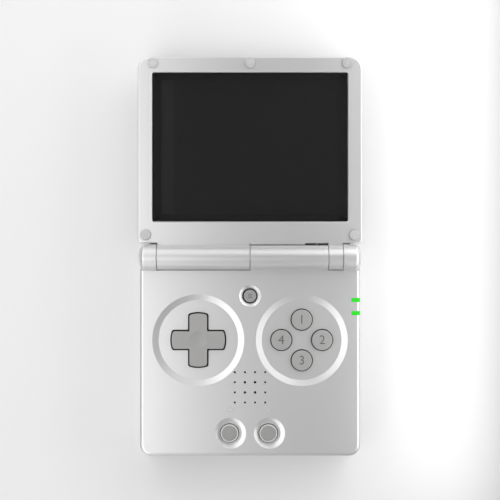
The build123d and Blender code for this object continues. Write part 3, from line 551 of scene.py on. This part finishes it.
# %% [markdown]
# ### Round pieces, pulled up ring by ring
#
# A button, a bumper and a foot are all turned shapes. Starting from a filled circle, each step extrudes
# the cap upwards and scales it to the next radius, exactly as one would pull a pot on a wheel. The list
# of (radius, height) pairs is the piece's own profile, and `rounded_rim` writes the quarter circle that
# every moulded rim has.


# %% Turned pieces
def rounded_rim(radius, top, fillet, steps=5):
    """Ring sizes for a quarter-round rim that ends on a flat top."""
    rings = []
    for step in range(steps + 1):
        angle = math.pi / 2 * step / steps
        rings.append((radius - fillet * (1 - math.cos(angle)), top - fillet * (1 - math.sin(angle))))
    return rings


def crown(radius, top, rise, steps=4):
    """Ring sizes for a shallow dome (or a dish, if rise is negative) inside a rim."""
    rings = []
    for step in range(1, steps + 1):
        share = 1 - step / (steps + 0.6)
        rings.append((radius * share, top + rise * (1 - share * share)))
    return rings


def turned(name, x, y, profile, sides=72):
    """Pull a filled circle up through the rings of a profile."""
    radius, height = profile[0]
    piece = begin(
        name, bpy.ops.mesh.primitive_circle_add,
        vertices=sides, radius=radius, fill_type="NGON", location=(x, y, height),
    )
    bpy.ops.mesh.select_all(action="SELECT")
    for ring, level in profile[1:]:
        push(z=level - height)
        bpy.ops.transform.resize(value=(ring / radius, ring / radius, 1.0), center_override=(x, y, level))
        radius, height = ring, level
    return piece


# %% [markdown]
# ### The four face buttons
#
# Each one is a short cylinder with a soft rim, a barely crowned top, and below the shell a wider flange
# that stops it falling out. They are numbered 1 to 4 with thin printed figures.

# %% Face buttons
FACE_CAP_RADIUS = 4.03 * mm
FACE_RIM = 0.45 * mm
FACE_CROWN = 0.1 * mm
FLANGE_THICKNESS = 1.1 * mm


def flange(node, cap_radius):
    """First rings of a key: the wide flange under the shell, and the step in to the cap."""
    low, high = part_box(node)
    radius = (high.x - low.x) / 2
    top = low.z + FLANGE_THICKNESS
    return [(radius, low.z), (radius, top), (cap_radius, top)]


def button(name, node, cap_radius, rim, rise, finish):
    """A round key whose place, height and flange come from its node in the frame."""
    centre = middle(node)
    flat_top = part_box(node)[1].z - rise
    profile = flange(node, cap_radius)
    profile += rounded_rim(cap_radius, flat_top, rim)
    profile += crown(cap_radius - rim, flat_top, rise)
    piece = turned(name, centre.x, centre.y, profile)
    return close_up(piece, node, finish, [node])


FACE_NUMBERS = {"far": "1", "right": "2", "near": "3", "left": "4"}
for place in FACE_NUMBERS:
    node = "face_button_" + place
    button("cap_" + place, node, FACE_CAP_RADIUS, FACE_RIM, FACE_CROWN, key_grey)

# %% [markdown]
# ### Printed figures
#
# The figures are text objects, given a hair of thickness and turned into a mesh. Most of that thickness
# is sunk in the key, so only the ink stands proud, as pad printing does.

# %% Figures on the face buttons
FIGURE_HEIGHT = 3.55 * mm
INK = 0.02 * mm


def figure(number, node):
    """A number centred on a key's top."""
    centre = middle(node)
    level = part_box(node)[1].z - FACE_CROWN / 2
    clear_selection()
    bpy.ops.object.text_add(location=(centre.x, centre.y, level))
    bpy.context.active_object.name = "figure_" + number
    letter = bpy.context.active_object.data
    letter.body = number
    letter.size = FIGURE_HEIGHT * 1.42
    letter.align_x = "CENTER"
    letter.align_y = "CENTER"
    letter.offset = -0.006 * FIGURE_HEIGHT
    letter.extrude = FACE_CROWN / 2 + INK / 2
    bpy.ops.object.convert(target="MESH")
    piece = bpy.context.active_object
    piece.data.name = piece.name
    bpy.ops.object.transform_apply(location=True, rotation=True, scale=True)
    return close_up(piece, node, label_ink, smooth=20)


for place, number in FACE_NUMBERS.items():
    figure(number, "face_button_" + place)

# %% [markdown]
# ### Start, select and menu buttons
#
# Start and select are two-part keys: a cup with a raised rim, painted pale grey as a highlight on that rim,
# and a darker face that lies sunk inside it. The cup's profile goes up and over the rim and down into it;
# the face is a shallow dome. The menu button is smaller, plain and softly domed.

# %% Start, select and menu
CUP_RADIUS = 3.55 * mm
RING_WIDTH = 0.5 * mm
RING_SUNK = 0.16 * mm
CUP_BORE = CUP_RADIUS - RING_WIDTH


def cup(name, node):
    """The outer part, painted pale as a highlight on its rim: up, over its rim and down to a flat floor."""
    centre = middle(node)
    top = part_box(node)[1].z
    profile = flange(node, CUP_RADIUS)
    profile += rounded_rim(CUP_RADIUS, top, RING_WIDTH / 2)
    profile += [(CUP_BORE + 0.03 * mm, top - 0.03 * mm), (CUP_BORE, top - RING_SUNK)]
    profile.append((CUP_BORE * 0.3, top - RING_SUNK))
    piece = turned("cap_" + name, centre.x, centre.y, profile)
    return close_up(piece, node, rim_highlight_grey, [node])


def cup_face(name, node):
    """The darker disc that lies in the cup."""
    centre = middle(node)
    floor_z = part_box(node)[1].z - RING_SUNK
    edge = CUP_BORE - 0.04 * mm
    top = floor_z + 0.05 * mm
    profile = [(edge, floor_z + 0.01 * mm)] + rounded_rim(edge, top, 0.03 * mm, 3)
    profile += crown(edge - 0.03 * mm, top, 0.05 * mm)
    piece = turned("face_" + name, centre.x, centre.y, profile)
    return close_up(piece, node, small_key_grey)


for name in ("start", "select"):
    cup(name, name + "_button")
    cup_face(name, name + "_button")
button("cap_menu", "menu_button", 2.5 * mm, 0.3 * mm, 0.08 * mm, small_key_grey)

# %% [markdown]
# ### Small signs instead of words
#
# Menu carries the usual three bars. Over start and select the shell has faint printed signs: a triangle
# that points on, and a small rounded frame. They are flat primitives with their corners bevelled, and
# they are pressed almost flush into the surface below them.

# %% Signs
SIGN_THICKNESS = INK * 3
MENU_BAR_SIZE = (1.7 * mm, 0.24 * mm, SIGN_THICKNESS)
MENU_BAR_PITCH = 0.62 * mm
SIGN_ROW = middle("start_button").y + 9.3 * mm
SIGN_SHIFT = 0.4 * mm


def menu_bar(line):
    """One of the three bars, with round ends; line is -1, 0 or 1."""
    y = middle("menu_button").y + line * MENU_BAR_PITCH
    place = (0.0, y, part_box("menu_button")[1].z - INK)
    name = f"menu_bar_{line + 2}"
    piece = begin(name, bpy.ops.mesh.primitive_cube_add, size=1.0, location=place, scale=MENU_BAR_SIZE)
    round_corners(piece, MENU_BAR_SIZE[1] * 0.45, 4)
    return close_up(piece, "menu_button", label_ink, smooth=20)


def start_sign():
    """A triangle pointing right: a three-sided cylinder with its corners rounded."""
    place = (middle("start_button").x + SIGN_SHIFT, SIGN_ROW, FACE_Z - INK)
    piece = begin(
        "sign_start", bpy.ops.mesh.primitive_cylinder_add,
        vertices=3, radius=1.15 * mm, depth=SIGN_THICKNESS, location=place, rotation=(0, 0, -math.pi / 2),
    )
    round_corners(piece, 0.15 * mm, 3)
    return close_up(piece, "base", faint_ink, smooth=20)


def select_sign():
    """A rounded frame: a bar with its top face inset, and the middle pushed down into the shell."""
    place = (middle("select_button").x + SIGN_SHIFT, SIGN_ROW, FACE_Z - INK)
    size = (2.6 * mm, 1.7 * mm, SIGN_THICKNESS)
    piece = begin("sign_select", bpy.ops.mesh.primitive_cube_add, size=1.0, location=place, scale=size)
    round_corners(piece, 0.45 * mm, 5)
    pick(piece, "FACE", lambda f: f.normal.z > 0.9)
    bpy.ops.mesh.inset(thickness=0.24 * mm)
    push(z=-INK * 2)
    return close_up(piece, "base", faint_ink, smooth=20)


for line in (-1, 0, 1):
    menu_bar(line)
start_sign()
select_sign()

# %% [markdown]
# ### Cover glass and its printed frame
#
# The glass is a flat pane with rounded corners and a small ground bevel. Behind it the maker prints a black
# frame that hides the edge of the display. The pane is a cube with its upright edges and its top edge
# bevelled; the frame is a thin cube whose top and bottom faces are inset and bridged into an opening.

# %% Cover glass and printed frame
GLASS_CORNER = 0.68 * mm
PRINT = 0.03 * mm


def slab(name, low, high):
    """A block between two corners, opened for editing, with its upright edges rounded."""
    centre = (low + high) / 2
    piece = begin(name, bpy.ops.mesh.primitive_cube_add, size=1.0, location=centre, scale=high - low)
    round_corners(piece, GLASS_CORNER, 6)
    return piece


def cover_glass():
    """The clear pane, with its top edge ground."""
    low, high = GLASS_LOW.copy(), GLASS_HIGH.copy()
    low.z += 2 * PRINT
    pane = slab("cover_glass", low, high)
    pick(pane, "FACE", lambda f: f.normal.z > 0.9)
    bpy.ops.mesh.bevel(offset=0.15 * mm, segments=3, affect="EDGES")
    return close_up(pane, "lid", glass, ["screen_glass"], smooth=15)


def print_frame():
    """The black ring printed on the back of the glass."""
    low, high = GLASS_LOW.copy(), GLASS_HIGH.copy()
    low.z += PRINT / 2
    high.z = low.z + PRINT
    ring = slab("printed_frame", low, high)
    border = (high.y - low.y) / 2 - ACTIVE_HALF_DEPTH
    pick(ring, "FACE", lambda f: abs(f.normal.z) > 0.9)
    bpy.ops.mesh.inset(thickness=border)
    width = (high.x - low.x) / 2 - border
    bpy.ops.transform.resize(value=(ACTIVE_HALF_WIDTH / width, 1.0, 1.0), center_override=SCREEN)
    bpy.ops.mesh.bridge_edge_loops()
    return close_up(ring, "lid", frame_black, smooth=20)


cover_glass()
print_frame()

# %% [markdown]
# ### Lid bumpers
#
# Five rubber pads sit over the lid's screws and keep the closed lid off the face. The far ones are
# slightly domed with a shallow ring groove, where the mould's ejector met them. The near ones are flat.

# %% Bumpers
BUMPER_RADIUS = 2.05 * mm


def bumper(name, x, y, low, high, domed):
    """One pad between two heights, opened for editing."""
    profile = [(BUMPER_RADIUS, low)]
    flat_top = high - (0.14 * mm if domed else 0.0)
    profile += rounded_rim(BUMPER_RADIUS, flat_top, 0.3 * mm if domed else 0.15 * mm, 4)
    if domed:
        groove = BUMPER_RADIUS * 0.66
        profile += [(groove + 0.14 * mm, flat_top + 0.05 * mm), (groove, flat_top - 0.09 * mm)]
        profile += [(groove - 0.12 * mm, flat_top + 0.07 * mm)]
        profile += crown(groove - 0.2 * mm, flat_top + 0.07 * mm, 0.07 * mm)
    return turned(name, x, y, profile, 48)


def bumper_row(node, pads, domed):
    """pads pairs the x of each pad with its finish."""
    low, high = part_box(node)
    y = (low.y + high.y) / 2
    for count, (x, finish) in enumerate(pads, 1):
        piece = bumper(f"{node}_{count}", x, y, low.z, high.z, domed)
        close_up(piece, "lid", finish, [node])


far_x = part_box("lid_bumpers_far")[1].x - BUMPER_RADIUS
near_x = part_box("lid_bumpers_near")[1].x - BUMPER_RADIUS
# The same rubber on every pad: the far left pad has the plain grey, the others painted shade, deepest on the
# right.
far_pads = [(-far_x, bumper_grey), (0.0, bumper_grey_painted_shade), (far_x, bumper_grey_painted_deep_shade)]
near_pads = [(-near_x, bumper_grey_painted_shade), (near_x, bumper_grey_painted_deep_shade)]
bumper_row("lid_bumpers_far", far_pads, domed=True)
bumper_row("lid_bumpers_near", near_pads, domed=False)

# %% [markdown]
# ### Feet
#
# Four round rubber feet are glued in shallow pockets under the base. Each has a soft rim and two ring
# grooves underneath that help it grip. They are turned like the bumpers, from the inside down.

# %% Feet
FOOT_RADIUS = 3.45 * mm
FOOT_GROOVES = (2.4 * mm, 1.3 * mm)
GROOVE_DEPTH = 0.15 * mm


def foot(name, x, y, ground, top):
    """One foot, turned from its glued top down to the ground."""
    profile = [(FOOT_RADIUS, top)]
    for radius, height in rounded_rim(FOOT_RADIUS, ground, -0.25 * mm, 4):
        profile.append((2 * FOOT_RADIUS - radius, height))
    for groove in FOOT_GROOVES:
        profile.append((groove + GROOVE_DEPTH, ground))
        profile.append((groove, ground + GROOVE_DEPTH))
        profile.append((groove - GROOVE_DEPTH, ground))
    profile.append((0.3 * mm, ground))
    piece = turned(name, x, y, profile, 48)
    return close_up(piece, "base", foot_rubber, ["feet"])


low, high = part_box("feet")
count = 0
for x in (low.x + FOOT_RADIUS, high.x - FOOT_RADIUS):
    for y in (low.y + FOOT_RADIUS, high.y - FOOT_RADIUS):
        count += 1
        foot(f"foot_{count}", x, y, low.z, high.z)

# %% [markdown]
# ### Keys on the edges
#
# Shoulder buttons, the power key and the volume rocker are bars that come out through a window. Each is a
# block with its outer edges rounded and a shallow panel inset in its outer face, so a finger finds it.


# %% Side keys
PANEL_BORDER = 0.35 * mm
PANEL_DEPTH = 0.12 * mm
SHOULDER_FLANGE = (0.35 * mm, 0.0, 0.475 * mm)
EDGE_KEY_FLANGE = (0.0, 1.0 * mm, 0.6 * mm)
X, Y = 0, 1


def side_key(name, node, along, sign, reach, flange, drop, rim):
    """A key that looks out along X or Y.

    sign says which way it looks, reach is its length inwards from its outer face, flange is how much wider
    its node is on each side, and drop is how far the key lies below the middle of its node.
    """
    low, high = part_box(node)
    size = high - low
    centre = (low + high) / 2
    for axis in range(3):
        size[axis] -= 2 * flange[axis]
    centre.z -= drop
    size[along] = reach
    outer = high[along] if sign > 0 else low[along]
    centre[along] = outer - sign * reach / 2
    piece = begin(name, bpy.ops.mesh.primitive_cube_add, size=1.0, location=centre, scale=size)
    pick(piece, "FACE", lambda f: f.normal[along] * sign > 0.9)
    bpy.ops.mesh.bevel(offset=rim, segments=4, affect="EDGES")
    pick(piece, "FACE", lambda f: f.normal[along] * sign > 0.999)
    bpy.ops.mesh.inset(thickness=PANEL_BORDER)
    step = [0.0, 0.0, 0.0]
    step[along] = -sign * PANEL_DEPTH
    push(*step)
    narrower = [0.95, 0.95, 0.95]
    narrower[along] = 1.0
    bpy.ops.transform.resize(value=narrower, center_override=centre)
    return close_up(piece, node, side_key_grey, [node])


for side in ("inner_left", "outer_left", "inner_right", "outer_right"):
    side_key("key_" + side, "shoulder_" + side, Y, 1, 3.8 * mm, SHOULDER_FLANGE, 0.325 * mm, 0.55 * mm)
for name, node, sign in (("key_power", "power_button", 1), ("key_volume", "volume_rocker", -1)):
    side_key(name, node, X, sign, 3.0 * mm, EDGE_KEY_FLANGE, 0.0, 0.35 * mm)

# %% [markdown]
# ### Inside the sockets
#
# A charging port shows gold contacts on both sides of its tongue, and a headphone jack shows a plated
# ring in its mouth. They are what tells an eye that these are real sockets and not holes.

# %% Port contacts and jack ring
CONTACTS = 8
CONTACT_PITCH = 0.72 * mm
CONTACT_SIZE = (0.34 * mm, 3.2 * mm, 0.06 * mm)
TONGUE_HALF = 0.36 * mm
JACK_AXIS = 3.1 * mm
JACK_RING_RADIUS = 1.79 * mm


def port_contact(name, x, level):
    """A gold strip lying on one side of the tongue."""
    low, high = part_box("usb_port")
    place = (x, high.y - 2.6 * mm, (low.z + high.z) / 2 + level)
    pin = begin(name, bpy.ops.mesh.primitive_cube_add, size=1.0, location=place, scale=CONTACT_SIZE)
    round_corners(pin, 0.1 * mm, 2)
    return close_up(pin, "base", contact_gold, smooth=30)


def jack_ring():
    """A plated ring just inside the mouth: a disc whose inset front face is pushed inwards."""
    low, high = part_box("headphone_jack")
    place = ((low.x + high.x) / 2, low.y + 1.2 * mm, low.z + JACK_AXIS)
    ring = begin(
        "jack_ring", bpy.ops.mesh.primitive_cylinder_add,
        vertices=48, radius=JACK_RING_RADIUS, depth=1.6 * mm, location=place, rotation=(math.pi / 2, 0, 0),
    )
    pick(ring, "FACE", lambda f: f.normal.y < -0.9)
    bpy.ops.mesh.inset(thickness=0.14 * mm)
    push(y=1.5 * mm)
    return close_up(ring, "base", steel)


for side, level in (("under", -TONGUE_HALF), ("top", TONGUE_HALF)):
    for count in range(CONTACTS):
        x = (count - (CONTACTS - 1) / 2) * CONTACT_PITCH
        port_contact(f"port_contact_{count + 1}_{side}", x, level)
jack_ring()

# %% [markdown]
# ### Cross pad
#
# The cross keeps the frame's own shape: arms whose ends are arcs, a softened top edge and a thumb dimple
# in the middle. It only needs the key plastic, so its own mesh stays. The same goes for the shells, the
# screws, the status lights and everything inside. The table goes from each finish to the nodes that wear
# it.

# %% Dress the frame
DRESS = {
    silver_face: ["base_top_shell"],
    silver: ["lid_bezel", "hinge_cap_left", "hinge_cap_right"],
    silver_hidden_side: ["base_bottom_shell", "battery_door", "lid_back_shell"],
    key_grey: ["dpad"],
    frame_black: ["glass_tape"],
    cell: ["lcd_panel"],
    green: ["led_light_pipes"],
    cloth: ["grille_cloth"],
    black_plastic: ["speaker", "menu_switch", "headphone_jack", "hall_sensor", "dpad_pivot"],
    black_foam: ["speaker_gasket", "lcd_foam_pads"],
    white_plastic: ["led_chips", "lcd_backlight"],
    silicone: ["dpad_membrane", "face_button_membrane", "start_select_membrane"],
    board_green: ["main_board", "shoulder_boards"],
    laminate: ["battery_pack"],
    amber_film: ["display_cable_base", "display_cable_lid"],
    dark_steel: ["base_screws", "battery_door_screw", "lid_screws"],
    steel: [
        "processor_shield", "side_switches", "usb_port", "card_sockets", "hinge_shaft", "hinge_centre_pin",
        "hinge_sleeve", "hinge_cartridge", "hinge_friction_washers", "hinge_disc_springs", "lid_magnet",
    ],
}
for finish, names in DRESS.items():
    for name in names:
        nodes[name].data.materials.clear()
        nodes[name].data.materials.append(finish)
        print(name, "wears", finish.name)

# %% [markdown]
# ## Floor
#
# The object lies on plain, pale paper. A flat plane would do, but paper has a tooth, so its colour and its
# relief vary a little at less than a millimetre.

# %% Floor
clear_selection()
bpy.ops.mesh.primitive_plane_add(size=3.0, location=(0, 0, 0))
floor = bpy.context.active_object
floor.name = "floor"
paper = Finish("studio_paper", {"Specular IOR Level": 0.2})
tooth = paper.grain(0.8 * mm)
floor.data.materials.append(
    paper.use(
        Base_Color=paper.blend(tooth * 0.3, grey(0.80), grey(0.77)),
        Roughness=0.85 + tooth * 0.05,
        Normal=paper.relief(tooth, 0.01 * mm),
    )
)
print(floor.name, "wears", paper.material.name)

# %% [markdown]
# ## Light
#
# Satin silver is a blurred mirror, so it looks like whatever stands round it. A low strip on each side
# lights the face at a grazing angle, and since they are close, their light fades from the edges towards
# the middle, as it does on brushed or sprayed metal. Four boxes behind the lid and three in front of the
# base put light on the barrel, the dish walls and the rounded edges that look that way. One box hangs high
# on the left and gives the keys and the bumpers their even tone. A little white light comes from all round.


# %% Lights
NEAREST_AIM = 0.07
ROOM_LIGHT = 0.09


def softbox(name, place, aim, size, power):
    """An area light turned so that its face looks at a point."""
    clear_selection()
    bpy.ops.object.light_add(type="AREA", location=place)
    lamp = bpy.context.active_object
    lamp.name = name
    lamp.data.shape = "RECTANGLE"
    lamp.data.size, lamp.data.size_y = size
    lamp.data.energy = power
    way = lamp.location.copy()
    for axis in range(3):
        way[axis] = aim[axis] - place[axis]
    lamp.rotation_euler = way.to_track_quat("-Z", "Y").to_euler()
    lamp.visible_camera = False
    return lamp


# name: place, size and power. Each light looks at the nearest point of the object's middle line.
LIGHTS = {
    "left_strip": ((-0.125, 0.0, 0.16), (0.50, 0.15), 0.43),
    "right_strip": ((0.09, 0.07, 0.06), (0.36, 0.07), 0.185),
    "far_left": ((-0.16, 0.36, 0.13), (0.26, 0.20), 0.28),
    "far_right": ((0.16, 0.36, 0.13), (0.26, 0.20), 0.12),
    "far_high": ((0.0, 0.30, 0.30), (0.26, 0.24), 0.05),
    "far_high_right": ((0.16, 0.30, 0.30), (0.26, 0.24), 0.29),
    "near_left": ((-0.16, -0.36, 0.13), (0.26, 0.20), 0.205),
    "near_middle": ((0.0, -0.36, 0.13), (0.26, 0.20), 0.055),
    "near_high_right": ((0.16, -0.30, 0.30), (0.26, 0.24), 0.065),
    "overhead_left": ((-0.22, -0.16, 0.75), (0.34, 0.34), 0.51),
}
for name, (place, size, power) in LIGHTS.items():
    aim_y = max(-NEAREST_AIM, min(place[1], NEAREST_AIM))
    softbox(name, place, (0, aim_y, FACE_Z), size, power)
print(len(LIGHTS), "softboxes")

studio = bpy.data.worlds.new("studio")
studio.use_nodes = True
background = studio.node_tree.nodes["Background"].inputs
background["Color"].default_value = (1.0, 1.0, 1.0, 1.0)
background["Strength"].default_value = ROOM_LIGHT
bpy.context.scene.world = studio
bpy.context.scene.view_settings.view_transform = "Standard"

# %% [markdown]
# ## Camera
#
# The view is straight down on the open game. A long lens from about half a metre keeps the sides of the
# base and the lid nearly out of sight.

# %% Camera
CAMERA_HEIGHT = 550 * mm
CAMERA_Y = 2.5 * mm
clear_selection()
bpy.ops.object.camera_add(location=(0, CAMERA_Y, FACE_Z + CAMERA_HEIGHT), rotation=(0, 0, 0))
camera = bpy.context.active_object
camera.data.lens = 100
camera.data.sensor_width = 36
camera.data.clip_start = 0.01
bpy.context.scene.camera = camera
print("camera", round(camera.location.z, 3), "m above the floor")
